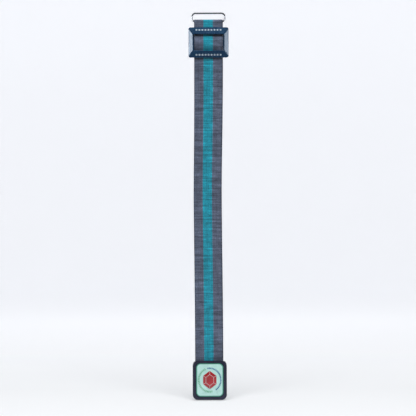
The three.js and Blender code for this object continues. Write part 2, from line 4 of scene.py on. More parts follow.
import bmesh
import bpy
from mathutils import Matrix, Vector
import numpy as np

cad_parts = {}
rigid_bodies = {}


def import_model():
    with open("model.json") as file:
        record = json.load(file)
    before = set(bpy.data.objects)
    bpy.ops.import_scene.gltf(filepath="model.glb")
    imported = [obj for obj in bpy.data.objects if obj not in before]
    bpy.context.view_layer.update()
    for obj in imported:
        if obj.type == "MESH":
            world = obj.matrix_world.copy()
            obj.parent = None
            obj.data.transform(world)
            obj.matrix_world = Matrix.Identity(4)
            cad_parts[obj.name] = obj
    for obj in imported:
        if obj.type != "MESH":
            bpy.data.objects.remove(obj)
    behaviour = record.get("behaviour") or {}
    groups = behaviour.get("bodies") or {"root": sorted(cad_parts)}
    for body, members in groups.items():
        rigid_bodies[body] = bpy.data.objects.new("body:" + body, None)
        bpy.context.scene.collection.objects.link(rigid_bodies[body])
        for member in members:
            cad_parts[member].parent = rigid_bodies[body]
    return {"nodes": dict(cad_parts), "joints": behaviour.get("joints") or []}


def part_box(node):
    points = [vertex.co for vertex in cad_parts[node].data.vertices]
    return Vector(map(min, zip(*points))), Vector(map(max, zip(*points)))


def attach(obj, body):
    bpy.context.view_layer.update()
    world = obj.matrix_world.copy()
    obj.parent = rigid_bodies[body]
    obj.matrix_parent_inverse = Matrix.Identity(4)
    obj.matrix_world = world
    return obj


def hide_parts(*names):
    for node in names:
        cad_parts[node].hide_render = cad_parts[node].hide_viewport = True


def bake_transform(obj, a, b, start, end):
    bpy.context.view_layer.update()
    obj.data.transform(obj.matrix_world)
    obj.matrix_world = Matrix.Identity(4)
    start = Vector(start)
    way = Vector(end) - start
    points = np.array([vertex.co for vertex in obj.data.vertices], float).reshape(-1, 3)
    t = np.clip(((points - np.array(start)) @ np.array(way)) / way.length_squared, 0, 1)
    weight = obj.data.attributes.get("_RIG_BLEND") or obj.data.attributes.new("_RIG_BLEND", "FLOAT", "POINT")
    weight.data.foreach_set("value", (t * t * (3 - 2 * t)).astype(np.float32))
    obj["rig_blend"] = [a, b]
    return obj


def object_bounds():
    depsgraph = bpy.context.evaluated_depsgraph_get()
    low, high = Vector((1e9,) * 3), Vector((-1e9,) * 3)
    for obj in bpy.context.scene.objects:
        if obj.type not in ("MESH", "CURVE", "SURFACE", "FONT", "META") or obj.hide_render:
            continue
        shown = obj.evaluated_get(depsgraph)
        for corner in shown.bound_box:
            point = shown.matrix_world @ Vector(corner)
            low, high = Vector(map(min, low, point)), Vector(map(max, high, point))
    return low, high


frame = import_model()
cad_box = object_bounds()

# ---- Wire loop ----
# One length of chromed steel wire, 2 mm thick, bent into a flat loop with round corners.
# Its two ends meet in the middle of the lower bar, where the folded webbing hides them.

MM = 0.001


def clear_selection():
    if bpy.context.object and bpy.context.object.mode == "EDIT":
        bpy.ops.object.mode_set(mode="OBJECT")
    bpy.ops.object.select_all(action="DESELECT")


def name_piece(name):
    """Names the primitive that was just added, and gives its place to its mesh."""
    piece = bpy.context.object
    piece.name = name
    piece.data.name = name
    bpy.ops.object.transform_apply(location=True, rotation=True, scale=True)
    return piece


def take_up(piece):
    """Makes a piece the one that is selected, in object mode."""
    clear_selection()
    piece.select_set(True)
    bpy.context.view_layer.objects.active = piece


def edit_piece(piece, picked="DESELECT"):
    take_up(piece)
    bpy.ops.object.mode_set(mode="EDIT")
    bpy.ops.mesh.select_all(action=picked)


def extrude(move):
    bpy.ops.mesh.extrude_region_move(TRANSFORM_OT_translate={"value": move})


def pick_faces(piece, wanted):
    """Selects the faces for which wanted(face) is true, in edit mode."""
    bpy.ops.mesh.select_mode(type="FACE")
    bpy.ops.mesh.select_all(action="DESELECT")
    mesh = bmesh.from_edit_mesh(piece.data)
    for face in mesh.faces:
        face.select_set(bool(wanted(face)))
    bmesh.update_edit_mesh(piece.data)


def pick_edges(piece, wanted):
    """Selects the edges for which wanted(first end, second end) is true, in edit mode."""
    bpy.ops.mesh.select_mode(type="EDGE")
    bpy.ops.mesh.select_all(action="DESELECT")
    mesh = bmesh.from_edit_mesh(piece.data)
    for edge in mesh.edges:
        edge.select_set(bool(wanted(edge.verts[0].co, edge.verts[1].co)))
    bmesh.update_edit_mesh(piece.data)


def finish_shape(piece, smooth_degrees=35, flat_faces=False):
    """Turns the faces outwards, and rounds the shading over soft edges. With flat_faces the large
    faces keep their own direction, and only the narrow ones between them turn."""
    edit_piece(piece, "SELECT")
    bpy.ops.mesh.remove_doubles(threshold=1e-6)
    bpy.ops.mesh.normals_make_consistent(inside=False)
    take_up(piece)
    bpy.ops.object.shade_smooth_by_angle(angle=math.radians(smooth_degrees))
    if flat_faces:
        weighting = piece.modifiers.new("flat_faces", "WEIGHTED_NORMAL")
        weighting.keep_sharp = True
        bpy.ops.object.modifier_apply(modifier="flat_faces")


def add_node(finish, kind, inputs=None, **settings):
    """Adds a node to a finish. Each input is a plain value, or the socket that feeds it."""
    node = finish.node_tree.nodes.new("ShaderNode" + kind)
    for setting, value in settings.items():
        setattr(node, setting, value)
    for socket, value in (inputs or {}).items():
        if isinstance(value, bpy.types.NodeSocket):
            finish.node_tree.links.new(value, node.inputs[socket])
        else:
            node.inputs[socket].default_value = value
    return node


def calculate(finish, operation, first, second=0.0, third=0.0):
    node = add_node(finish, "Math", {0: first, 1: second, 2: third}, operation=operation)
    return node.outputs[0]


def mix_colours(finish, share, first, second):
    node = add_node(finish, "Mix", {0: share, 6: first, 7: second}, data_type="RGBA")
    return node.outputs[2]


def scale_range(finish, value, low, high, from_low=0.0, from_high=1.0):
    sockets = {"Value": value, "From Min": from_low, "From Max": from_high, "To Min": low, "To Max": high}
    return add_node(finish, "MapRange", sockets).outputs[0]


def noise(finish, place, scale, detail):
    sockets = {"Vector": place, "Scale": scale, "Detail": detail}
    return add_node(finish, "TexNoise", sockets).outputs[0]


def two_tone(finish, cloud, dark, light):
    """A colour that drifts between two shades with a noise."""
    return mix_colours(finish, scale_range(finish, cloud, 0.0, 1.0, 0.35, 0.65), dark, light)


def rgb(red, green, blue):
    return (red, green, blue, 1.0)


def new_finish(name, metallic=0.0, **sockets):
    """A new material. The sockets are named with underscores, and hold plain values."""
    finish = bpy.data.materials.new(name)
    finish.use_nodes = True
    surface = finish.node_tree.nodes["Principled BSDF"]
    surface.inputs["Metallic"].default_value = metallic
    for socket, value in sockets.items():
        surface.inputs[socket.replace("_", " ")].default_value = value
    return finish


def feed_surface(finish, **sockets):
    surface = finish.node_tree.nodes["Principled BSDF"]
    for socket, value in sockets.items():
        finish.node_tree.links.new(value, surface.inputs[socket.replace("_", " ")])


def object_place(finish):
    return add_node(finish, "TexCoord").outputs["Object"]


def add_bump(finish, height, distance, strength=1.0):
    bump = add_node(finish, "Bump", {"Height": height, "Distance": distance, "Strength": strength})
    feed_surface(finish, Normal=bump.outputs["Normal"])


def give_finish(piece, finish):
    piece.data.materials.clear()
    piece.data.materials.append(finish)


def chrome_finish():
    finish = new_finish("bright_chrome", metallic=1.0)
    haze = noise(finish, object_place(finish), 140.0, 5.0)
    feed_surface(finish, Base_Color=two_tone(finish, haze, rgb(0.43, 0.45, 0.48), rgb(0.53, 0.55, 0.58)))
    feed_surface(finish, Roughness=scale_range(finish, haze, 0.05, 0.16))
    add_bump(finish, noise(finish, object_place(finish), 900.0, 3.0), 0.00002, 0.5)
    return finish


loop_low, loop_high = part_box("wire_loop")
wire_radius = (loop_high.y - loop_low.y) / 2
lower_bar_z = loop_low.z + wire_radius
upper_bar_z = loop_high.z - wire_radius
loop_corner = 3.9 * MM
side_bar_x = loop_high.x - wire_radius
butt_x = 0.1 * MM

clear_selection()
bpy.ops.mesh.primitive_circle_add(
    vertices=24,
    radius=wire_radius,
    fill_type="NGON",
    location=(butt_x, 0, lower_bar_z),
    rotation=(0, math.pi / 2, 0),
)
wire = name_piece("chromed_wire")
edit_piece(wire, "SELECT")
lower_straight = side_bar_x - loop_corner - butt_x
side_straight = upper_bar_z - lower_bar_z - 2 * loop_corner
upper_straight = 2 * (side_bar_x - loop_corner)
wire_bends = [
    ((lower_straight, 0, 0), (1, -1)),
    ((0, 0, side_straight), (1, 1)),
    ((-upper_straight, 0, 0), (-1, 1)),
    ((0, 0, -side_straight), (-1, -1)),
]
loop_middle_z = (upper_bar_z + lower_bar_z) / 2
for straight, (right, up) in wire_bends:
    extrude(straight)
    bend_centre = (
        right * (side_bar_x - loop_corner),
        0,
        loop_middle_z + up * ((upper_bar_z - lower_bar_z) / 2 - loop_corner),
    )
    bpy.ops.mesh.spin(steps=10, angle=math.pi / 2, center=bend_centre, axis=(0, 1, 0))
extrude((lower_straight, 0, 0))
finish_shape(wire, 50)
CHROME = chrome_finish()
give_finish(wire, CHROME)
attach(wire, "wire_loop")
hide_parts("wire_loop")

# ---- Webbing folded over the wire ----
# Ribbed polyester webbing, grey with a teal stripe down the middle, woven in one long piece.
# It comes up in front, turns over the loop's lower bar and goes down behind.

strap_low, strap_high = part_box("strap_upper")
strap_width = strap_high.x - strap_low.x
strap_thickness = strap_high.y - strap_low.y
strap_y = (strap_low.y + strap_high.y) / 2
STRIPE_SHARE = 0.333
STRIPE_OFFSET = 0.4 * MM
COLUMN_WIDTH = 0.8 * MM
RIB_LENGTH = 1.15 * MM
# The hollow colours are painted shade: the hollows between the yarns are drawn darker than the yarn.
GREY_YARN = rgb(0.123, 0.155, 0.226)
GREY_SHADED_HOLLOW = rgb(0.034, 0.040, 0.066)
TEAL_YARN = rgb(0.013, 0.385, 0.505)
TEAL_SHADED_HOLLOW = rgb(0.004, 0.100, 0.160)


def webbing_finish(name, along_socket):
    """Columns of yarn along the strap, pressed into ribs across it, in the stripe's two colours."""
    finish = new_finish(name, Roughness=0.82, Sheen_Weight=0.1, Sheen_Roughness=0.45)
    across = add_node(finish, "Attribute", attribute_name="across").outputs["Fac"]
    along = along_socket(finish)

    def times(first, second):
        return calculate(finish, "MULTIPLY", first, second)

    def arches(count, power):
        rounded = calculate(finish, "ABSOLUTE", calculate(finish, "SINE", times(count, math.pi)))
        return calculate(finish, "POWER", rounded, power)

    def whole(count):
        return calculate(finish, "FLOOR", count)

    def uneven(across_scale, along_scale, detail):
        stretched = {0: times(across, across_scale), 1: times(along, along_scale)}
        place = add_node(finish, "CombineXYZ", stretched).outputs[0]
        sockets = {"Vector": place, "Scale": 1.0, "Detail": detail, "Roughness": 0.6}
        return add_node(finish, "TexNoise", sockets, noise_dimensions="2D").outputs[0]

    def one_per(number):
        return add_node(finish, "TexWhiteNoise", {"W": number}, noise_dimensions="1D").outputs[0]

    column = calculate(finish, "DIVIDE", across, COLUMN_WIDTH)
    rib = calculate(finish, "DIVIDE", along, RIB_LENGTH)
    stagger = times(calculate(finish, "FLOORED_MODULO", whole(column), 2.0), 0.5)
    pick = calculate(finish, "ADD", rib, stagger)
    yarn = times(arches(column, 0.6), arches(pick, 0.7))
    loop_place = add_node(finish, "CombineXYZ", {0: whole(column), 1: whole(pick)}).outputs[0]
    loop_shade = add_node(finish, "TexWhiteNoise", {"Vector": loop_place}, noise_dimensions="2D").outputs[0]
    bars = uneven(45.0, 620.0, 2.0)
    distance = calculate(finish, "ABSOLUTE", calculate(finish, "ADD", across, STRIPE_OFFSET))
    edge = strap_width / 2
    shades = (
        (one_per(whole(rib)), 0.8, 1.16),
        (loop_shade, 0.82, 1.14),
        (bars, 0.7, 1.3, 0.3, 0.7),
        (uneven(110.0, 140.0, 3.0), 0.82, 1.18, 0.3, 0.7),
        (uneven(1100.0, 18.0, 2.0), 0.88, 1.12, 0.3, 0.7),
        (distance, 1.0, 0.66, edge - 1.3 * MM, edge - 0.5 * MM),
    )
    shade = scale_range(finish, one_per(whole(column)), 0.88, 1.1)
    for amount_and_range in shades:
        shade = times(shade, scale_range(finish, *amount_and_range))
    ragged = times(calculate(finish, "SUBTRACT", arches(pick, 1.0), 0.5), 0.25 * MM)
    from_middle = calculate(finish, "ADD", distance, ragged)
    stripe_edge = STRIPE_SHARE * strap_width / 2
    stripe = scale_range(finish, from_middle, 1.0, 0.0, stripe_edge - 0.1 * MM, stripe_edge + 0.1 * MM)
    # Painted shade: the hollows between the yarns take the darker colours.
    grey = mix_colours(finish, yarn, GREY_SHADED_HOLLOW, GREY_YARN)
    teal = mix_colours(finish, yarn, TEAL_SHADED_HOLLOW, TEAL_YARN)
    plain = mix_colours(finish, stripe, grey, teal)
    shaded = add_node(finish, "VectorMath", {0: plain}, operation="SCALE")
    finish.node_tree.links.new(shade, shaded.inputs["Scale"])
    feed_surface(finish, Base_Color=shaded.outputs[0])
    add_bump(finish, calculate(finish, "ADD", yarn, times(bars, 0.5)), 0.00025, 0.9)
    return finish


def woven_length(finish):
    return add_node(finish, "Attribute", attribute_name="along").outputs["Fac"]


def height_in_place(finish):
    return add_node(finish, "SeparateXYZ", {0: object_place(finish)}).outputs[2]


BENT_WEBBING = webbing_finish("striped_webbing_bent", woven_length)
SLID_WEBBING = webbing_finish("striped_webbing_straight", height_in_place)


def note_length(webbing, further):
    """Writes how much further along the webbing the picked section is, for the weave to follow."""
    upward = 1 if webbing.name == "fold_over_wire" else -1
    mesh = bmesh.from_edit_mesh(webbing.data)
    along = mesh.verts.layers.float["along"]
    for vertex in mesh.verts:
        if vertex.select:
            vertex[along] += upward * further
    bmesh.update_edit_mesh(webbing.data)


def start_webbing(name, y, z, thickness=strap_thickness):
    """The webbing's section, flat across at one height: a slim oblong with round selvedges."""
    clear_selection()
    bpy.ops.mesh.primitive_plane_add(size=1, location=(0, y, z))
    bpy.ops.transform.resize(value=(strap_width, thickness, 1))
    webbing = name_piece(name)
    edit_piece(webbing, "SELECT")
    bpy.ops.mesh.bevel(offset=thickness * 0.42, segments=3, affect="VERTICES")
    bpy.ops.mesh.select_all(action="SELECT")
    mesh = bmesh.from_edit_mesh(webbing.data)
    along = mesh.verts.layers.float.new("along")
    for vertex in mesh.verts:
        vertex[along] = z
    bmesh.update_edit_mesh(webbing.data)
    return webbing


def run_webbing(webbing, rise, steps):
    """Carries the section straight up by rise, or down where rise is less than nothing."""
    for _ in range(steps):
        extrude((0, 0, rise / steps))
        note_length(webbing, abs(rise) / steps)


def turn_webbing(webbing, centre, degrees, radius, steps):
    """Carries the section round a line that runs across."""
    angle = math.radians(degrees) / steps
    for _ in range(steps):
        bpy.ops.mesh.spin(steps=1, angle=angle, center=centre, axis=(1, 0, 0))
        note_length(webbing, abs(angle) * radius)


SWAY = 1.6 * MM
SWAY_HEIGHT = -0.215
SWAY_REACH = 0.085
DRIFT = 0.5 * MM
DRIFT_TOP = -0.24
DRIFT_REACH = 0.08
DRAWN_FOOT = -0.17
DRAWN_REACH = 0.1


def hang_webbing(webbing):
    """Ends the shape, and lets it wave a little from side to side as limp webbing hangs. The part
    near the adjuster is drawn slightly wider."""
    finish_shape(webbing, 40)
    across = webbing.data.attributes.new("across", "FLOAT", "POINT")
    for vertex in webbing.data.vertices:
        across.data[vertex.index].value = vertex.co.x
        wave = -SWAY * math.exp(-(((vertex.co.z - SWAY_HEIGHT) / SWAY_REACH) ** 2))
        drift = -DRIFT * min(1.0, max(0.0, (DRIFT_TOP - vertex.co.z) / DRIFT_REACH))
        drawn = min(1.0, max(0.0, (vertex.co.z - DRAWN_FOOT) / DRAWN_REACH))
        vertex.co.x = vertex.co.x * (1.01 + 0.022 * drawn) + wave + drift


fold_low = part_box("strap_fold")[0]
turn_radius = -strap_y
front_top = fold_low.z - 0.3 * MM
fold = start_webbing("fold_over_wire", strap_y, front_top)
run_webbing(fold, lower_bar_z - front_top, 1)
turn_webbing(fold, (0, 0, lower_bar_z), 180, turn_radius, 20)
run_webbing(fold, front_top - lower_bar_z, 1)
hang_webbing(fold)
give_finish(fold, BENT_WEBBING)
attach(fold, "strap_head")
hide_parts("strap_fold")

# ---- Front run of the webbing ----
# The same webbing, hanging flat from the fold and down through the back of the adjuster.
# Pulling the adjuster down draws this length up, so it gathers between its two ends.

curl_joints = [joint for joint in frame["joints"] if joint["name"].startswith("strap_curl")]
hinge_heights = [joint["pos_m"][2] for joint in curl_joints]
hinge_reach = (hinge_heights[0] - hinge_heights[1]) / 2
front_bottom = hinge_heights[0] + hinge_reach
front = start_webbing("front_run", strap_y, front_top)
run_webbing(front, front_bottom - front_top, 72)
hang_webbing(front)
give_finish(front, SLID_WEBBING)
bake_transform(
    front,
    "strap_head",
    "strap_main",
    start=(0, strap_y, front_top - 1 * MM),
    end=(0, strap_y, front_bottom + 8 * MM),
)
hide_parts("strap_front_run", "strap_upper")

# ---- Back run of the webbing ----
# The short length behind, from the fold down to the adjuster's bar. It grows as the adjuster is
# pulled down.

back_low, back_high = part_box("strap_back_run")
back_y = (back_low.y + back_high.y) / 2
wrap_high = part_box("strap_bar_wrap")[1]
back = start_webbing("back_run", back_y, front_top)
run_webbing(back, wrap_high.z - front_top, 24)
hang_webbing(back)
give_finish(back, SLID_WEBBING)
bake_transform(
    back,
    "strap_head",
    "adjuster",
    start=(0, back_y, front_top - 0.5 * MM),
    end=(0, back_y, wrap_high.z + 0.5 * MM),
)
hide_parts("strap_back_run")

# ---- Slide adjuster ----
# A picture frame moulded in glossy navy plastic, its faces sloping back from the window to mitred
# corners. Two lugs behind its sides hold the bar, and a ledge down each side of the window closes the
# gap beside the webbing.


def add_block(name, size, middle):
    clear_selection()
    bpy.ops.mesh.primitive_cube_add(size=1, location=middle)
    bpy.ops.transform.resize(value=size)
    return name_piece(name)


def add_slab(name, width, height, radius, front_y, back_y, z=0.0, x=0.0, segments=6):
    """A flat block facing forward, with its four corners rounded."""
    slab = add_block(name, (width, back_y - front_y, height), (x, (front_y + back_y) / 2, z))
    edit_piece(slab)
    pick_edges(slab, lambda a, b: abs(a.y - b.y) > 0.9 * (back_y - front_y))
    bpy.ops.mesh.bevel(offset=radius, segments=segments)
    return slab


def cut_away(piece, cutter, operation="DIFFERENCE"):
    """Cuts one shape out of a piece, or joins it on, and clears the cutter away."""
    take_up(piece)
    cut = piece.modifiers.new("cut", "BOOLEAN")
    cut.operation = operation
    cut.object = cutter
    cut.solver = "EXACT"
    bpy.ops.object.modifier_apply(modifier="cut")
    bpy.data.objects.remove(cutter)


def soften_edges(piece, width, degrees=30, segments=2):
    take_up(piece)
    bevel = piece.modifiers.new("soft_edges", "BEVEL")
    bevel.width = width
    bevel.segments = segments
    bevel.limit_method = "ANGLE"
    bevel.angle_limit = math.radians(degrees)
    bevel.harden_normals = False
    bpy.ops.object.modifier_apply(modifier="soft_edges")


def moulded_finish(name, dark, light, roughness, streaks, **gloss):
    """Polished moulding: even colour with a faint flow in it, and fine polishing lines."""
    finish = new_finish(name, **gloss)
    place = object_place(finish)
    feed_surface(finish, Base_Color=two_tone(finish, noise(finish, place, 90.0, 4.0), dark, light))
    stretched = add_node(finish, "Mapping", {"Vector": place, "Scale": streaks}).outputs[0]
    lines = noise(finish, stretched, 1.0, 3.0)
    feed_surface(finish, Roughness=scale_range(finish, lines, roughness * 0.7, roughness * 1.4, 0.3, 0.7))
    add_bump(finish, lines, 0.00003, 0.35)
    return finish


adjuster_low, adjuster_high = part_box("adjuster_frame")
bar_low, bar_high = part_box("adjuster_bar")
adjuster_width = adjuster_high.x - adjuster_low.x
adjuster_height = adjuster_high.z - adjuster_low.z
adjuster_z = (adjuster_high.z + adjuster_low.z) / 2
adjuster_edge_y = -5.1 * MM
adjuster_back_y = -4.0 * MM
window_width = 35.2 * MM
window_height = 18.8 * MM
rim = 0.7 * MM

adjuster = add_slab(
    "adjuster_moulding",
    adjuster_width,
    adjuster_height,
    2.2 * MM,
    adjuster_edge_y,
    adjuster_back_y,
    adjuster_z,
    segments=5,
)
edit_piece(adjuster)
pick_faces(adjuster, lambda face: face.normal.y < -0.9)
extrude((0, adjuster_low.y - adjuster_edge_y, 0))
rim_scale = ((window_width + 2 * rim) / adjuster_width, 1, (window_height + 2 * rim) / adjuster_height)
bpy.ops.transform.resize(value=rim_scale, center_override=(0, 0, adjuster_z))
bpy.ops.mesh.inset(thickness=rim)
window = add_slab(
    "adjuster_window",
    window_width,
    window_height,
    1.4 * MM,
    adjuster_low.y - 2 * MM,
    adjuster_back_y + 2 * MM,
    adjuster_z,
    segments=5,
)
cut_away(adjuster, window)
soften_edges(adjuster, 0.22 * MM, 12)
lug_front_y = adjuster_back_y - 0.5 * MM
lug_back_y = adjuster_high.y
lug_width = 4.1 * MM
lug_height = 13 * MM
for side in (-1, 1):
    lug_x = side * (window_width / 2 + 2.35 * MM)
    lug = add_block(
        "adjuster_lug",
        (lug_width, lug_back_y - lug_front_y, lug_height),
        (lug_x, (lug_front_y + lug_back_y) / 2, adjuster_z),
    )
    edit_piece(lug)
    pick_edges(lug, lambda a, b: min(a.y, b.y) > lug_back_y - 0.1 * MM or abs(a.x - b.x) > 2 * MM)
    bpy.ops.mesh.bevel(offset=0.5 * MM, segments=3)
    socket = add_slab(
        "bar_socket",
        2 * (bar_high.x - window_width / 2 + 0.3 * MM),
        bar_high.z - bar_low.z + 0.4 * MM,
        0.9 * MM,
        bar_low.y - 0.2 * MM,
        bar_high.y + 0.2 * MM,
        adjuster_z,
        side * window_width / 2,
    )
    cut_away(lug, socket)
    cut_away(adjuster, lug, "UNION")
    clear_selection()
    bpy.ops.mesh.primitive_cube_add(
        size=1,
        location=(side * (window_width / 2 - 0.24 * MM), adjuster_back_y + 0.25 * MM, adjuster_z),
        scale=(1.6 * MM, 1.5 * MM, window_height + 0.8 * MM),
    )
    cut_away(adjuster, name_piece("window_ledge"), "UNION")
finish_shape(adjuster, 40, flat_faces=True)
NAVY_MOULDING = moulded_finish(
    "navy_moulding",
    rgb(0.008, 0.031, 0.070),
    rgb(0.012, 0.043, 0.090),
    0.22,
    (1500.0, 900.0, 60.0),
    Coat_Weight=0.3,
    Coat_Roughness=0.08,
    Coat_Tint=rgb(0.80, 0.90, 1.0),
    Specular_Tint=rgb(0.72, 0.86, 1.0),
)
give_finish(adjuster, NAVY_MOULDING)
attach(adjuster, "adjuster")
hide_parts("adjuster_frame")

# ---- Pale marks on the adjuster ----
# Nine small pips stand in a row on the upper and on the lower slope. They are moulded with the frame,
# and their hollowed tops are filled with pale grey paint.

slope_rise = adjuster_edge_y - adjuster_low.y
slope_run = (adjuster_height - window_height) / 2 - rim
slope_angle = math.atan2(slope_rise, slope_run)
PIP_COUNT = 9
PIP_PITCH = 3.45 * MM
PIP_DEPTH = 0.5 * MM
PALE_PAINT = new_finish("pale_paint", Roughness=0.42)
paint_grain = noise(PALE_PAINT, object_place(PALE_PAINT), 1800.0, 3.0)
paint = two_tone(PALE_PAINT, paint_grain, rgb(0.27, 0.35, 0.43), rgb(0.45, 0.53, 0.60))
feed_surface(PALE_PAINT, Base_Color=paint)
add_bump(PALE_PAINT, paint_grain, 0.00004, 0.5)


def repeat_across(piece, count, pitch):
    """Repeats a piece in a row to the right, count times in all."""
    take_up(piece)
    row = piece.modifiers.new("row", "ARRAY")
    row.count = count
    row.use_relative_offset = False
    row.use_constant_offset = True
    row.constant_offset_displace = (pitch, 0, 0)
    bpy.ops.object.modifier_apply(modifier="row")


for row_name, up in (("pips_upper", 1), ("pips_lower", -1)):
    first_pip = (-PIP_PITCH * (PIP_COUNT - 1) / 2, 0, 0)
    pips = add_block(row_name, (2.1 * MM, PIP_DEPTH, 1.8 * MM), first_pip)
    edit_piece(pips)
    pick_edges(pips, lambda a, b: abs(a.y - b.y) > 0.8 * PIP_DEPTH)
    bpy.ops.mesh.bevel(offset=0.62 * MM, segments=4)
    pick_faces(pips, lambda face: face.normal.y < -0.9)
    bpy.ops.mesh.inset(thickness=0.2 * MM)
    extrude((0, 0.14 * MM, 0))
    soften_edges(pips, 0.05 * MM)
    repeat_across(pips, PIP_COUNT, PIP_PITCH)
    reach = 0.43 * slope_run
    slope_y = adjuster_edge_y - math.tan(slope_angle) * reach + 0.02 * MM
    place = Matrix.Translation((0, slope_y, adjuster_z + up * (adjuster_height / 2 - reach)))
    pips.data.transform(place @ Matrix.Rotation(-up * slope_angle, 4, "X"))
    finish_shape(pips)
    give_finish(pips, PALE_PAINT)
    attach(pips, "adjuster")

# ---- Adjuster bar ----
# A flat nickel-plated steel bar with round edges, pressed into the two lugs. The webbing's end is sewn
# round it, so that only its two ends can be seen.


def brushed_finish(name, dark, light, roughness, grain):
    """Plated steel with the fine scratches of brushing or tumbling along one direction."""
    finish = new_finish(name, metallic=1.0)
    place = object_place(finish)
    stretched = add_node(finish, "Mapping", {"Vector": place, "Scale": grain}).outputs[0]
    scratches = noise(finish, stretched, 1.0, 4.0)
    cloud = noise(finish, place, 110.0, 3.0)
    tone = calculate(finish, "MULTIPLY", calculate(finish, "ADD", scratches, cloud), 0.5)
    feed_surface(finish, Base_Color=two_tone(finish, tone, dark, light))
    shine = scale_range(finish, scratches, roughness * 0.75, roughness * 1.35, 0.3, 0.7)
    feed_surface(finish, Roughness=shine)
    add_bump(finish, scratches, 0.00002, 0.6)
    return finish


NICKEL_STRIP = brushed_finish(
    "nickel_strip", rgb(0.36, 0.36, 0.36), rgb(0.52, 0.52, 0.51), 0.3, (2600.0, 2600.0, 120.0)
)
give_finish(frame["nodes"]["adjuster_bar"], NICKEL_STRIP)

# ---- Webbing end round the bar ----
# The back run's end goes down behind the bar, round under it and up in front, then lies against
# itself and is sewn through both layers.


def shift_webbing(webbing, y, z, shift, drop, steps):
    """Carries the section down (or up) by drop while it eases across by shift, in two equal bends."""
    bend = 2 * math.atan2(abs(shift), abs(drop))
    radius = abs(drop) / 2 / math.sin(bend)
    towards = math.copysign(1, shift)
    turn = towards * math.copysign(math.degrees(bend), drop)
    turn_webbing(webbing, (0, y + towards * radius, z), turn, radius, steps)
    turn_webbing(webbing, (0, y + shift - towards * radius, z + drop), -turn, radius, steps)


bar_y = (bar_low.y + bar_high.y) / 2
bar_turn = wrap_high.y - bar_y - strap_thickness / 2
behind_y = bar_y + bar_turn
before_y = bar_y - bar_turn
turn_z = bar_low.z + (bar_high.y - bar_low.y) / 2
sewn_y = back_y - strap_thickness - 0.1 * MM
wrap = start_webbing("webbing_round_bar", back_y, wrap_high.z)
bend_top = back_low.z - 4.3 * MM
sewn_top = back_low.z - 3.3 * MM
run_webbing(wrap, bend_top - wrap_high.z, 2)
shift_webbing(wrap, back_y, bend_top, behind_y - back_y, bar_high.z - bend_top, 6)
run_webbing(wrap, turn_z - bar_high.z, 2)
turn_webbing(wrap, (0, bar_y, turn_z), 180, bar_turn, 18)
run_webbing(wrap, bar_high.z - turn_z, 2)
shift_webbing(wrap, before_y, bar_high.z, sewn_y - before_y, sewn_top - bar_high.z, 4)
run_webbing(wrap, 3.5 * MM, 2)
hang_webbing(wrap)
give_finish(wrap, BENT_WEBBING)
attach(wrap, "adjuster")
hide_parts("strap_bar_wrap")

# ---- Sewing ----
# Rows of lockstitch in dark grey thread across the webbing, behind the adjuster and on the hem at the
# buckle. Each stitch is a short length of thread that dips into the weave at both ends.


def thread_finish():
    finish = new_finish("dark_thread", Roughness=0.7, Sheen_Weight=0.3, Sheen_Roughness=0.4)
    lay = {"Vector": object_place(finish), "Rotation": (0, 0.6, 0), "Scale": (2800.0, 900.0, 900.0)}
    twist = noise(finish, add_node(finish, "Mapping", lay).outputs[0], 1.0, 2.0)
    colour = two_tone(finish, twist, rgb(0.035, 0.038, 0.058), rgb(0.105, 0.115, 0.16))
    feed_surface(finish, Base_Color=colour)
    add_bump(finish, twist, 0.00008, 0.7)
    return finish


THREAD = thread_finish()
STITCH_PITCH = 2.1 * MM
STITCH_LENGTH = 1.1 * MM
THREAD_RADIUS = 0.3 * MM


def add_rod(name, radius, depth, middle, turned=(math.pi / 2, 0, 0), sides=32):
    """A round bar, pointing to the front and back if it isn't turned otherwise."""
    clear_selection()
    bpy.ops.mesh.primitive_cylinder_add(
        vertices=sides, radius=radius, depth=depth, location=middle, rotation=turned
    )
    return name_piece(name)


ACROSS = (0, math.pi / 2, 0)


def sew_row(name, node, body):
    """A row of stitches lying on the webbing's face where the CAD row is."""
    row_low, row_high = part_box(node)
    face_y = row_low.y - THREAD_RADIUS
    row_z = (row_low.z + row_high.z) / 2
    count = int((row_high.x - row_low.x) / STITCH_PITCH) + 1
    first_x = -STITCH_PITCH * (count - 1) / 2
    first_place = (first_x, face_y + 0.08 * MM, row_z)
    stitches = add_rod(name, THREAD_RADIUS, STITCH_LENGTH, first_place, ACROSS, 10)
    edit_piece(stitches)
    for end in (-1, 1):
        pick_faces(stitches, lambda face: face.normal.x * end > 0.9)
        end_x = first_x + end * STITCH_LENGTH / 2
        for out, sink, shrink in ((0.22, -0.06, 0.85), (0.17, -0.12, 0.7), (0.08, -0.12, 0.5)):
            end_x += end * out * MM
            extrude((end * out * MM, sink * MM, 0))
            bpy.ops.transform.resize(value=(1, shrink, shrink), center_override=(end_x, face_y, row_z))
    repeat_across(stitches, count, STITCH_PITCH)
    finish_shape(stitches, 60)
    give_finish(stitches, THREAD)
    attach(stitches, body)
    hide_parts(node)


sew_row("bar_stitches_upper", "bar_stitching_upper", "adjuster")
sew_row("bar_stitches_lower", "bar_stitching_lower", "adjuster")

# ---- Webbing standing forward in the window ----
# Where the webbing crosses the bar it bows forward in the window, with both ends tucked behind the
# frame. It is drawn out thin there.

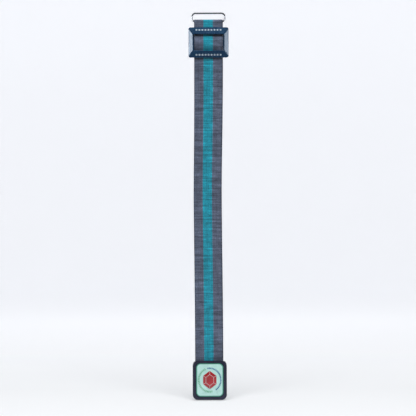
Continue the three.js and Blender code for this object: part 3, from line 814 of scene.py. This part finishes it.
hump_low, hump_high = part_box("strap_over_bar")
hump_thickness = 1.0 * MM
hump_start_y = hump_high.y - hump_thickness / 2 - 0.05 * MM
hump_peak_y = hump_low.y + hump_thickness / 2
hump_tuck = 2.2 * MM
arch_half = (hump_high.z - hump_low.z) / 2 - hump_tuck
arch_bend = 2 * math.atan2(hump_start_y - hump_peak_y, arch_half)
small_radius = 2.4 * MM
large_radius = arch_half / math.sin(arch_bend) - small_radius
hump = start_webbing("webbing_over_bar", hump_start_y, hump_high.z, hump_thickness)
tuck_y = hump_start_y - small_radius
degrees = math.degrees(arch_bend)
run_webbing(hump, -hump_tuck, 1)
turn_webbing(hump, (0, tuck_y, hump_high.z - hump_tuck), degrees, small_radius, 6)
turn_webbing(hump, (0, hump_peak_y + large_radius, adjuster_z), -2 * degrees, large_radius, 20)
turn_webbing(hump, (0, tuck_y, hump_low.z + hump_tuck), degrees, small_radius, 6)
run_webbing(hump, -hump_tuck, 1)
hang_webbing(hump)
give_finish(hump, BENT_WEBBING)
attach(hump, "adjuster")
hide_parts("strap_over_bar")

# ---- Lower run of the webbing ----
# The webbing's long lower part bends freely. It is laid in equal lengths, each centred on one of the
# lines that it bends about, so that it curves without a break.

BLEND_REACH = 13 * MM
link_bodies = [curl_joints[0]["parent"]] + [joint["child"] for joint in curl_joints]
for number, height in enumerate(hinge_heights):
    length_top = height + hinge_reach
    bend_piece = start_webbing("lower_run_%d" % (number + 1), strap_y, length_top)
    run_webbing(bend_piece, -2 * hinge_reach, 20)
    hang_webbing(bend_piece)
    give_finish(bend_piece, BENT_WEBBING)
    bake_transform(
        bend_piece,
        link_bodies[number],
        link_bodies[number + 1],
        start=(0, strap_y, height + BLEND_REACH),
        end=(0, strap_y, height - BLEND_REACH),
    )
    if number + 1 < len(hinge_heights):
        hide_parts("strap_segment_%d" % (number + 1))

# ---- Webbing end at the buckle ----
# The same webbing goes down into the top of the buckle, round its pin and back up behind itself. The
# hem is sewn through both layers with two rows of the same thread.

pin_low, pin_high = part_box("strap_pin")
pin_y = (pin_low.y + pin_high.y) / 2
pin_z = (pin_low.z + pin_high.z) / 2
pin_turn = pin_y - strap_y
stitch_low, stitch_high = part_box("hem_stitching_upper")
hem_y = stitch_low.y - THREAD_RADIUS - strap_thickness / 2
hem_top = stitch_high.z + 1.85 * MM
hem_bend = 10 * MM
tail_top = hinge_heights[-1] - hinge_reach
tail = start_webbing("webbing_round_pin", strap_y, tail_top)
run_webbing(tail, pin_z - tail_top, 6)
turn_webbing(tail, (0, pin_y, pin_z), -180, pin_turn, 18)
shift_webbing(tail, pin_y + pin_turn, pin_z, hem_y - pin_y - pin_turn, hem_bend, 8)
run_webbing(tail, hem_top - pin_z - hem_bend, 6)
hang_webbing(tail)
give_finish(tail, BENT_WEBBING)
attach(tail, "strap_tail")
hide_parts("strap_end")
sew_row("hem_stitches_upper", "hem_stitching_upper", "strap_tail")
sew_row("hem_stitches_lower", "hem_stitching_lower", "strap_tail")

# ---- Pin in the buckle ----
# A round nickel-plated steel pin, pressed into the buckle's side walls. The webbing turns round it, and
# the buckle swings on it.

give_finish(frame["nodes"]["strap_pin"], NICKEL_STRIP)

# ---- Buckle case ----
# A glossy blue-black moulding, open at the top and behind. Its front is a flat frame with a recess for
# the badge, its edge is rounded over, and four bosses inside take the back plate's screws.

case_low, case_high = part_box("buckle_frame")
badge_low, badge_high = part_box("badge_plate")
case_width = case_high.x - case_low.x
case_height = case_high.z - case_low.z
case_z = (case_high.z + case_low.z) / 2
badge_z = (badge_high.z + badge_low.z) / 2
case_inside_y = -4.6 * MM
bay_width = 34.4 * MM

case = add_slab("buckle_case", case_width, case_height, 6 * MM, case_low.y, case_high.y, case_z, segments=10)
edit_piece(case)
pick_edges(case, lambda a, b: max(a.y, b.y) < case_low.y + 0.01 * MM)
bpy.ops.mesh.bevel(offset=1.0 * MM, segments=5)
pick_edges(case, lambda a, b: min(a.y, b.y) > case_high.y - 0.01 * MM)
bpy.ops.mesh.bevel(offset=0.4 * MM, segments=2)
recess = add_slab(
    "badge_recess",
    badge_high.x - badge_low.x + 0.3 * MM,
    badge_high.z - badge_low.z + 0.3 * MM,
    5.3 * MM,
    case_low.y - 1 * MM,
    badge_high.y + 0.1 * MM,
    badge_z,
    segments=10,
)
cut_away(case, recess)
edit_piece(case)
recess_half_x = (badge_high.x - badge_low.x) / 2 + 0.4 * MM
recess_half_z = (badge_high.z - badge_low.z) / 2 + 0.4 * MM
pick_edges(
    case,
    lambda a, b: all(
        p.y < case_low.y + 0.01 * MM and abs(p.x) < recess_half_x and abs(p.z - badge_z) < recess_half_z
        for p in (a, b)
    ),
)
bpy.ops.mesh.bevel(offset=0.25 * MM, segments=3)
past_case_y = case_high.y + 2 * MM
bay_middle_z = case_high.z - 5.5 * MM
bay = add_slab("strap_bay", bay_width, 13 * MM, 0.8 * MM, case_inside_y, past_case_y, bay_middle_z)
cut_away(case, bay)
chamfer = 1.5 * MM
cutter_side = 4 * MM
cutter_middle = cutter_side / 2 / math.sqrt(2) - chamfer / 2
clear_selection()
bpy.ops.mesh.primitive_cube_add(
    size=1,
    location=(0, case_inside_y + cutter_middle, case_high.z + cutter_middle),
    rotation=(math.pi / 4, 0, 0),
    scale=(bay_width, cutter_side, cutter_side),
)
cut_away(case, name_piece("bay_chamfer"))
pocket_z = case_high.z - 27.5 * MM
pocket = add_slab("hollow_pocket", 28.8 * MM, 26.6 * MM, 1.2 * MM, case_inside_y, past_case_y, pocket_z)
cut_away(case, pocket)
for side in (-1, 1):
    socket_place = (side * (bay_width / 2 + 0.6 * MM), pin_y, pin_z)
    cut_away(case, add_rod("pin_socket", pin_high.y - pin_y + 0.25 * MM, 1.3 * MM, socket_place, ACROSS))
screw_places = [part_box("plate_screw_%d" % number) for number in (1, 2, 3, 4)]
boss_front_y = case_inside_y - 0.3 * MM
for screw_low, screw_high in screw_places:
    boss_place = (
        (screw_low.x + screw_high.x) / 2,
        (case_high.y + boss_front_y) / 2,
        (screw_low.z + screw_high.z) / 2,
    )
    cut_away(case, add_rod("screw_boss", 2.6 * MM, case_high.y - boss_front_y, boss_place), "UNION")
finish_shape(case, 40, flat_faces=True)
BLACK_MOULDING = moulded_finish(
    "blue_black_moulding",
    rgb(0.010, 0.011, 0.024),
    rgb(0.017, 0.018, 0.036),
    0.2,
    (700.0, 700.0, 700.0),
    Specular_IOR_Level=0.36,
    Specular_Tint=rgb(0.84, 0.9, 1.0),
)
give_finish(case, BLACK_MOULDING)
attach(case, "buckle")
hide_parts("buckle_frame")

# ---- Badge plate ----
# A thin steel plate with round corners, enamelled mint and edged by a darker green line, pressed into
# the front of the case.

corner_radius = 5.2 * MM
badge = add_slab(
    "mint_badge",
    badge_high.x - badge_low.x,
    badge_high.z - badge_low.z,
    corner_radius,
    badge_low.y,
    badge_high.y,
    badge_z,
    segments=10,
)
edit_piece(badge)
pick_edges(badge, lambda a, b: max(a.y, b.y) < badge_low.y + 0.01 * MM)
bpy.ops.mesh.bevel(offset=0.3 * MM, segments=3)
finish_shape(badge, 40, flat_faces=True)


def enamel_finish(name, dark, light, roughness=0.28):
    """Fired enamel: nearly even colour, slightly wavy, under a clear gloss."""
    finish = new_finish(name, Coat_Weight=0.4, Coat_Roughness=0.1)
    place = object_place(finish)
    cloud = noise(finish, place, 160.0, 4.0)
    colour = two_tone(finish, cloud, dark, light)
    feed_surface(finish, Base_Color=colour)
    feed_surface(finish, Roughness=scale_range(finish, cloud, roughness * 0.8, roughness * 1.3))
    add_bump(finish, noise(finish, place, 420.0, 2.0), 0.00003, 0.5)
    return finish, colour


MINT_ENAMEL, mint = enamel_finish("mint_enamel", rgb(0.38, 0.62, 0.57), rgb(0.43, 0.68, 0.63))
centred = {"Vector": object_place(MINT_ENAMEL), "Location": (0, 0, -badge_z)}
badge_place = add_node(MINT_ENAMEL, "Mapping", centred).outputs[0]
badge_across = add_node(MINT_ENAMEL, "SeparateXYZ", {0: badge_place})


def past_corner(finish, coordinate, half):
    """The square of how far a place lies past the middle of the corners, one way."""
    beyond = calculate(finish, "SUBTRACT", calculate(finish, "ABSOLUTE", coordinate), half - corner_radius)
    return calculate(finish, "POWER", calculate(finish, "MAXIMUM", beyond, 0.0), 2.0)


past_x = past_corner(MINT_ENAMEL, badge_across.outputs[0], (badge_high.x - badge_low.x) / 2)
past_z = past_corner(MINT_ENAMEL, badge_across.outputs[2], (badge_high.z - badge_low.z) / 2)
outward = calculate(MINT_ENAMEL, "SQRT", calculate(MINT_ENAMEL, "ADD", past_x, past_z))
edge_line = scale_range(MINT_ENAMEL, outward, 0.0, 1.0, corner_radius - 1.35 * MM, corner_radius - 0.85 * MM)
feed_surface(MINT_ENAMEL, Base_Color=mix_colours(MINT_ENAMEL, edge_line, mint, rgb(0.05, 0.27, 0.19)))
give_finish(badge, MINT_ENAMEL)
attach(badge, "buckle")
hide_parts("badge_plate")

# ---- Gem in the middle of the badge ----
# A plain upright six-sided gem in red enamel, raised in six facets round a flat table. Thin pale lines
# of bare metal part the facets.

gem_low, gem_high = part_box("emblem_gem")
gem_width = gem_high.x - gem_low.x
gem_height = gem_high.z - gem_low.z
clear_selection()
bpy.ops.mesh.primitive_circle_add(
    vertices=6,
    radius=gem_height / 2,
    fill_type="NGON",
    location=(0, badge_low.y, badge_z),
    rotation=(math.pi / 2, 0, 0),
)
gem = name_piece("red_gem")
edit_piece(gem)
bpy.ops.mesh.select_mode(type="VERT")
bpy.ops.mesh.select_all(action="SELECT")
six_sided_width = gem_height * math.cos(math.pi / 6)
bpy.ops.transform.resize(value=(gem_width / six_sided_width, 1, 1), center_override=(0, 0, badge_z))
bpy.ops.mesh.select_all(action="DESELECT")
gem_sides = bmesh.from_edit_mesh(gem.data)
for vertex in gem_sides.verts:
    vertex.select_set(abs(vertex.co.x) > gem_width / 4)
bmesh.update_edit_mesh(gem.data)
bpy.ops.transform.resize(value=(1, 1, 0.9), center_override=(0, 0, badge_z))
bpy.ops.mesh.select_mode(type="FACE")
bpy.ops.mesh.select_all(action="SELECT")
gem_side_y = badge_low.y - 0.3 * MM
gem_rim_y = badge_low.y - 0.36 * MM
facet_rise = 0.75 * MM
facet_run = 3.2 * MM
extrude((0, gem_side_y - badge_low.y, 0))
bpy.ops.mesh.inset(thickness=0.2 * MM)
bpy.ops.transform.translate(value=(0, gem_rim_y - gem_side_y, 0))
bpy.ops.mesh.inset(thickness=facet_run)
bpy.ops.transform.translate(value=(0, -facet_rise, 0))
pick_edges(gem, lambda a, b: min(a.y, b.y) < gem_rim_y - 0.1 * MM)
bpy.ops.mesh.bevel(offset=0.17 * MM, segments=1)
finish_shape(gem, 3)
LARGEST_LINE = 2.6 * MM * MM
pale_line = gem.data.attributes.new("pale_line", "FLOAT", "FACE")
for face in gem.data.polygons:
    raised = face.center.y < gem_side_y - 0.01 * MM
    pale_line.data[face.index].value = 1.0 if raised and face.area < LARGEST_LINE else 0.0
RED_ENAMEL, red = enamel_finish("red_enamel", rgb(0.26, 0.006, 0.012), rgb(0.37, 0.013, 0.020), 0.3)
line_share = add_node(RED_ENAMEL, "Attribute", attribute_name="pale_line").outputs["Fac"]
feed_surface(RED_ENAMEL, Base_Color=mix_colours(RED_ENAMEL, line_share, red, rgb(0.50, 0.55, 0.55)))
give_finish(gem, RED_ENAMEL)
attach(gem, "buckle")
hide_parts("emblem_gem")

# ---- Ring round the gem ----
# A broken ring of small raised dashes, green on the left and blue on the right, slightly taller than
# it is wide.

RING_HALF_WIDTH = 12.6 * MM
RING_HALF_HEIGHT = 13.4 * MM
GREEN_ENAMEL, _ = enamel_finish("green_enamel", rgb(0.13, 0.38, 0.24), rgb(0.21, 0.48, 0.32))
BLUE_ENAMEL, _ = enamel_finish("blue_enamel", rgb(0.025, 0.10, 0.24), rgb(0.05, 0.17, 0.36))
ring_sides = [
    ("ring_dashes_left", "emblem_ring_left", 112, 285, 2.1 * MM, GREEN_ENAMEL, "green_enamel"),
    ("ring_dashes_right", "emblem_ring_right", -58, 103, 1.6 * MM, BLUE_ENAMEL, "blue_enamel"),
]
DASH_COUNT = 22
DASH_DEPTH = 0.45 * MM
DASH_LENGTH = 1.1 * MM
for ring_name, node, from_degrees, to_degrees, band, enamel, slot_name in ring_sides:
    dash = add_block(ring_name, (band, DASH_DEPTH, DASH_LENGTH), (0, 0, 0))
    edit_piece(dash)
    pick_edges(dash, lambda a, b: max(a.y, b.y) < 0 or abs(a.y - b.y) > 0.7 * DASH_DEPTH)
    bpy.ops.mesh.bevel(offset=0.14 * MM, segments=2)
    finish_shape(dash)
    for number in range(DASH_COUNT):
        angle = math.radians(from_degrees + (to_degrees - from_degrees) * (number + 0.5) / DASH_COUNT)
        copy = dash
        if number < DASH_COUNT - 1:
            copy = dash.copy()
            copy.data = dash.data.copy()
            bpy.context.scene.collection.objects.link(copy)
            copy.select_set(True)
        middle = (
            RING_HALF_WIDTH * math.cos(angle),
            badge_low.y - 0.1 * MM,
            badge_z + RING_HALF_HEIGHT * math.sin(angle),
        )
        copy.data.transform(Matrix.Translation(middle) @ Matrix.Rotation(-angle, 4, "Y"))
    bpy.ops.object.join()
    give_finish(dash, enamel)
    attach(dash, "buckle")
    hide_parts(node)

# ---- Back plate, screws, hook and rivets ----
# A nickel-plated plate closes the back of the case and is held by four cross-head screws. A steel strip
# is riveted to it and bent up at the bottom into the hook that takes the wire loop.

plate_low, plate_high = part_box("buckle_back_plate")
plate = add_slab(
    "back_plate",
    plate_high.x - plate_low.x,
    plate_high.z - plate_low.z,
    4 * MM,
    plate_low.y,
    plate_high.y,
    (plate_low.z + plate_high.z) / 2,
    segments=8,
)
soften_edges(plate, 0.15 * MM, 60)
finish_shape(plate, 40, flat_faces=True)
PLATED_SHEET = brushed_finish(
    "plated_sheet", rgb(0.40, 0.40, 0.41), rgb(0.50, 0.50, 0.50), 0.32, (90.0, 1500.0, 2400.0)
)
give_finish(plate, PLATED_SHEET)
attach(plate, "buckle")
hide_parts("buckle_back_plate")

RIVET_STEEL = brushed_finish(
    "rivet_steel", rgb(0.46, 0.46, 0.46), rgb(0.58, 0.58, 0.57), 0.22, (800.0, 800.0, 800.0)
)
shank_radius = 0.9 * MM
slot_length = 2.2 * MM
slot_width = 0.5 * MM
slot_depth = 1.0 * MM


def raise_dome(piece, x, z, rings):
    """Draws a rod's back end out into a low dome, ring by ring."""
    edit_piece(piece)
    pick_faces(piece, lambda face: face.normal.y > 0.9)
    for rise, shrink in rings:
        extrude((0, rise * MM, 0))
        bpy.ops.transform.resize(value=(shrink, 1, shrink), center_override=(x, 0, z))


for number, (screw_low, screw_high) in enumerate(screw_places):
    screw_x = (screw_low.x + screw_high.x) / 2
    screw_z = (screw_low.z + screw_high.z) / 2
    head_radius = (screw_high.x - screw_low.x) / 2
    head_place = (screw_x, plate_high.y + 0.2 * MM, screw_z)
    screw = add_rod("cross_head_screw_%d" % (number + 1), head_radius, 0.5 * MM, head_place)
    raise_dome(screw, screw_x, screw_z, ((0.22, 0.9), (0.16, 0.85), (0.09, 0.75), (0.03, 0.5)))
    pick_faces(screw, lambda face: face.normal.y < -0.9)
    bpy.ops.mesh.inset(thickness=head_radius - shank_radius)
    extrude((0, screw_low.y - plate_high.y, 0))
    for slot_size in ((slot_width, slot_depth, slot_length), (slot_length, slot_depth, slot_width)):
        cut_away(screw, add_block("cross_slot", slot_size, (screw_x, screw_high.y, screw_z)))
    screw.data.transform(
        Matrix.Translation((screw_x, 0, screw_z))
        @ Matrix.Rotation(0.5 + 0.9 * number, 4, "Y")
        @ Matrix.Translation((-screw_x, 0, -screw_z))
    )
    finish_shape(screw, 30)
    give_finish(screw, RIVET_STEEL)
    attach(screw, "buckle")
    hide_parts("plate_screw_%d" % (number + 1))

hook_low, hook_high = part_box("buckle_hook")
hook_width = hook_high.x - hook_low.x
hook_thickness = 1.2 * MM
hook_flat_y = hook_low.y + hook_thickness / 2
hook_turn = 2.75 * MM
hook_bend_z = hook_low.z + hook_turn + hook_thickness / 2
clear_selection()
bpy.ops.mesh.primitive_plane_add(size=1, location=(0, hook_flat_y, hook_high.z))
bpy.ops.transform.resize(value=(hook_width, hook_thickness, 1))
hook = name_piece("steel_hook")
edit_piece(hook, "SELECT")
bpy.ops.mesh.bevel(offset=0.3 * MM, segments=3, affect="VERTICES")
bpy.ops.mesh.select_all(action="SELECT")


def set_strip_width(width):
    """Makes the section of the hook's strip that is picked as wide as given."""
    half = max(abs(v.co.x) for v in bmesh.from_edit_mesh(hook.data).verts if v.select)
    bpy.ops.transform.resize(value=(width / 2 / half, 1, 1))


set_strip_width(hook_width - 5 * MM)
for drop, narrower in ((0.35, 3.2), (0.6, 2.0), (0.95, 0.8), (1.1, 0.0)):
    extrude((0, 0, -drop * MM))
    set_strip_width(hook_width - narrower * MM)
extrude((0, 0, hook_bend_z - hook_high.z + 3 * MM))
bpy.ops.mesh.spin(
    steps=24, angle=-math.pi, center=(0, hook_flat_y + hook_turn, hook_bend_z), axis=(1, 0, 0)
)
leg_y = hook_flat_y + 2 * hook_turn
leg_top_z = -423 * MM
extrude((0, 0, leg_top_z - hook_bend_z))
flare_radius = 8 * MM
flare = math.radians(24)
bpy.ops.mesh.spin(steps=5, angle=flare, center=(0, leg_y + flare_radius, leg_top_z), axis=(1, 0, 0))
tip_step = Vector((0, math.sin(flare), math.cos(flare))) * 0.35 * MM
for narrower in (0.0, 1.2, 3.2):
    extrude(tip_step)
    set_strip_width(hook_width - narrower * MM)
finish_shape(hook, 40)
give_finish(hook, NICKEL_STRIP)
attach(hook, "buckle")
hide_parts("buckle_hook")

head_y = hook_flat_y + hook_thickness / 2 + 0.2 * MM
for rivet_name, node in (("dome_rivet_left", "hook_rivet_left"), ("dome_rivet_right", "hook_rivet_right")):
    rivet_low, rivet_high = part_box(node)
    rivet_x = (rivet_low.x + rivet_high.x) / 2
    rivet_z = (rivet_low.z + rivet_high.z) / 2
    head_radius = (rivet_high.x - rivet_low.x) / 2
    depth = head_y - rivet_low.y
    rivet = add_rod(rivet_name, head_radius, depth, (rivet_x, (head_y + rivet_low.y) / 2, rivet_z))
    rings = ((0.3, 0.93), (0.22, 0.88), (0.14, 0.8), (0.08, 0.65), (0.03, 0.4))
    raise_dome(rivet, rivet_x, rivet_z, rings)
    finish_shape(rivet, 40)
    give_finish(rivet, RIVET_STEEL)
    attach(rivet, "buckle")
    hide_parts(node)

# ---- Studio ----
# A pale floor just under the buckle sweeps up all round into a plain wall. Its front part is only there
# to be seen, and throws no light back. One large soft light hangs above in front, and two strip lights
# gleam on the sloping faces. The camera is level.


def pale_floor_finish():
    finish = new_finish(
        "pale_floor",
        Roughness=0.9,
        Specular_IOR_Level=0.0,
        Emission_Color=rgb(0.97, 0.98, 1.0),
        Emission_Strength=0.34,
    )
    place = object_place(finish)
    cloud = add_node(finish, "TexNoise", {"Vector": place, "Scale": 3.0, "Detail": 2.0}).outputs[0]
    # The floor near the strap is painted darker than the wall: painted shade, so that the floor under the
    # lights looks no brighter than the wall.
    wall = mix_colours(finish, cloud, rgb(0.87, 0.88, 0.91), rgb(0.89, 0.90, 0.93))
    floor = mix_colours(finish, cloud, rgb(0.50, 0.51, 0.52), rgb(0.53, 0.54, 0.55))
    apart = add_node(finish, "SeparateXYZ", {0: place})
    far_back = scale_range(finish, apart.outputs[1], 0.0, 1.0, 0.1, 1.1)
    up_the_wall = scale_range(finish, apart.outputs[2], 0.0, 1.0, floor_z, floor_z + 0.12)
    share = calculate(finish, "MAXIMUM", far_back, up_the_wall)
    sweep_with_painted_shade = add_node(finish, "VectorMath", {0: mix_colours(finish, share, floor, wall)}, operation="SCALE")
    # Painted shade on the front floor, which lies under the upper light: it grows darker towards the camera.
    painted_shade_in_front = scale_range(finish, apart.outputs[1], 1.0, 0.55, -0.4, -1.6)
    finish.node_tree.links.new(painted_shade_in_front, sweep_with_painted_shade.inputs["Scale"])
    feed_surface(finish, Base_Color=sweep_with_painted_shade.outputs[0])
    return finish


floor_z = case_low.z - 0.7 * MM
floor_radius = 2.2
sweep_radius = 0.9
sweep_steps = 12
wall_height = 1.6
clear_selection()
bpy.ops.mesh.primitive_circle_add(
    vertices=96, radius=floor_radius, fill_type="NGON", location=(0, 0, floor_z)
)
studio = name_piece("studio_sweep")
edit_piece(studio, "SELECT")
for step in range(sweep_steps):
    before = math.pi / 2 * step / sweep_steps
    after = math.pi / 2 * (step + 1) / sweep_steps
    rise = sweep_radius * (math.cos(before) - math.cos(after))
    grow = (floor_radius + sweep_radius * math.sin(after)) / (floor_radius + sweep_radius * math.sin(before))
    bpy.ops.mesh.extrude_edges_move(TRANSFORM_OT_translate={"value": (0, 0, rise)})
    if step == 0:
        pick_edges(studio, lambda a, b: min(a.z, b.z) > floor_z + 0.5 * rise)
    bpy.ops.transform.resize(value=(grow, grow, 1), center_override=(0, 0, 0))
bpy.ops.mesh.extrude_edges_move(TRANSFORM_OT_translate={"value": (0, 0, wall_height)})
finish_shape(studio, 40)
give_finish(studio, pale_floor_finish())
bpy.ops.object.duplicate()
studio_front = bpy.context.object
studio_front.name = "studio_sweep_front"
cut_y = -0.35
for part, keeps_front in ((studio, False), (studio_front, True)):
    edit_piece(part, "SELECT")
    bpy.ops.mesh.bisect(
        plane_co=(0, cut_y, 0), plane_no=(0, -1, 0), clear_outer=not keeps_front, clear_inner=keeps_front
    )
    bpy.ops.object.mode_set(mode="OBJECT")
studio_front.visible_diffuse = False
studio_front.visible_glossy = False
studio_front.visible_shadow = False


def add_soft_light(name, place, size, radiance, glossy, diffuse):
    """A square light of the given brightness, turned towards the strap's middle."""
    lamp = bpy.data.lights.new(name, "AREA")
    lamp.shape = "RECTANGLE"
    lamp.size = size[0]
    lamp.size_y = size[1]
    lamp.energy = radiance * math.pi * size[0] * size[1]
    light = bpy.data.objects.new(name, lamp)
    light.location = place
    light.rotation_euler = (Vector((0, 0, middle_z)) - Vector(place)).to_track_quat("-Z", "Y").to_euler()
    light.visible_camera = False
    light.visible_glossy = glossy
    light.visible_diffuse = diffuse
    bpy.context.scene.collection.objects.link(light)


middle_z = (cad_box[0].z + cad_box[1].z) / 2
add_soft_light("left_strip_light", (-1.04, -0.81, middle_z + 0.1), (0.17, 0.95), 14.6, True, False)
add_soft_light("right_strip_light", (1.04, -0.81, middle_z + 0.1), (0.17, 0.95), 10.0, True, False)
add_soft_light("upper_soft_light", (0, -1.1, 1.2), (1.9, 1.1), 7.3, False, True)

world = bpy.data.worlds.new("studio_air")
bpy.context.scene.world = world
world.use_nodes = True
air = world.node_tree.nodes["Background"]
air.inputs["Color"].default_value = rgb(0.9, 0.93, 1.0)
air.inputs["Strength"].default_value = 0.15
seen_air = world.node_tree.nodes.new("ShaderNodeBackground")
seen_air.inputs["Color"].default_value = rgb(0.84, 0.86, 0.90)
either_air = world.node_tree.nodes.new("ShaderNodeMixShader")
light_path = world.node_tree.nodes.new("ShaderNodeLightPath")
join_sockets = world.node_tree.links.new
join_sockets(light_path.outputs["Is Camera Ray"], either_air.inputs[0])
join_sockets(air.outputs[0], either_air.inputs[1])
join_sockets(seen_air.outputs[0], either_air.inputs[2])
join_sockets(either_air.outputs[0], world.node_tree.nodes["World Output"].inputs["Surface"])
bpy.context.scene.view_settings.view_transform = "Standard"

camera_lens = bpy.data.cameras.new("front_camera")
camera_lens.sensor_width = 36
camera_lens.lens = 120.6
camera = bpy.data.objects.new("front_camera", camera_lens)
camera.location = (-0.0013, -1.6, -0.2234)
camera.rotation_euler = (math.radians(90), math.radians(0.215), 0)
bpy.context.scene.collection.objects.link(camera)
bpy.context.scene.camera = camera
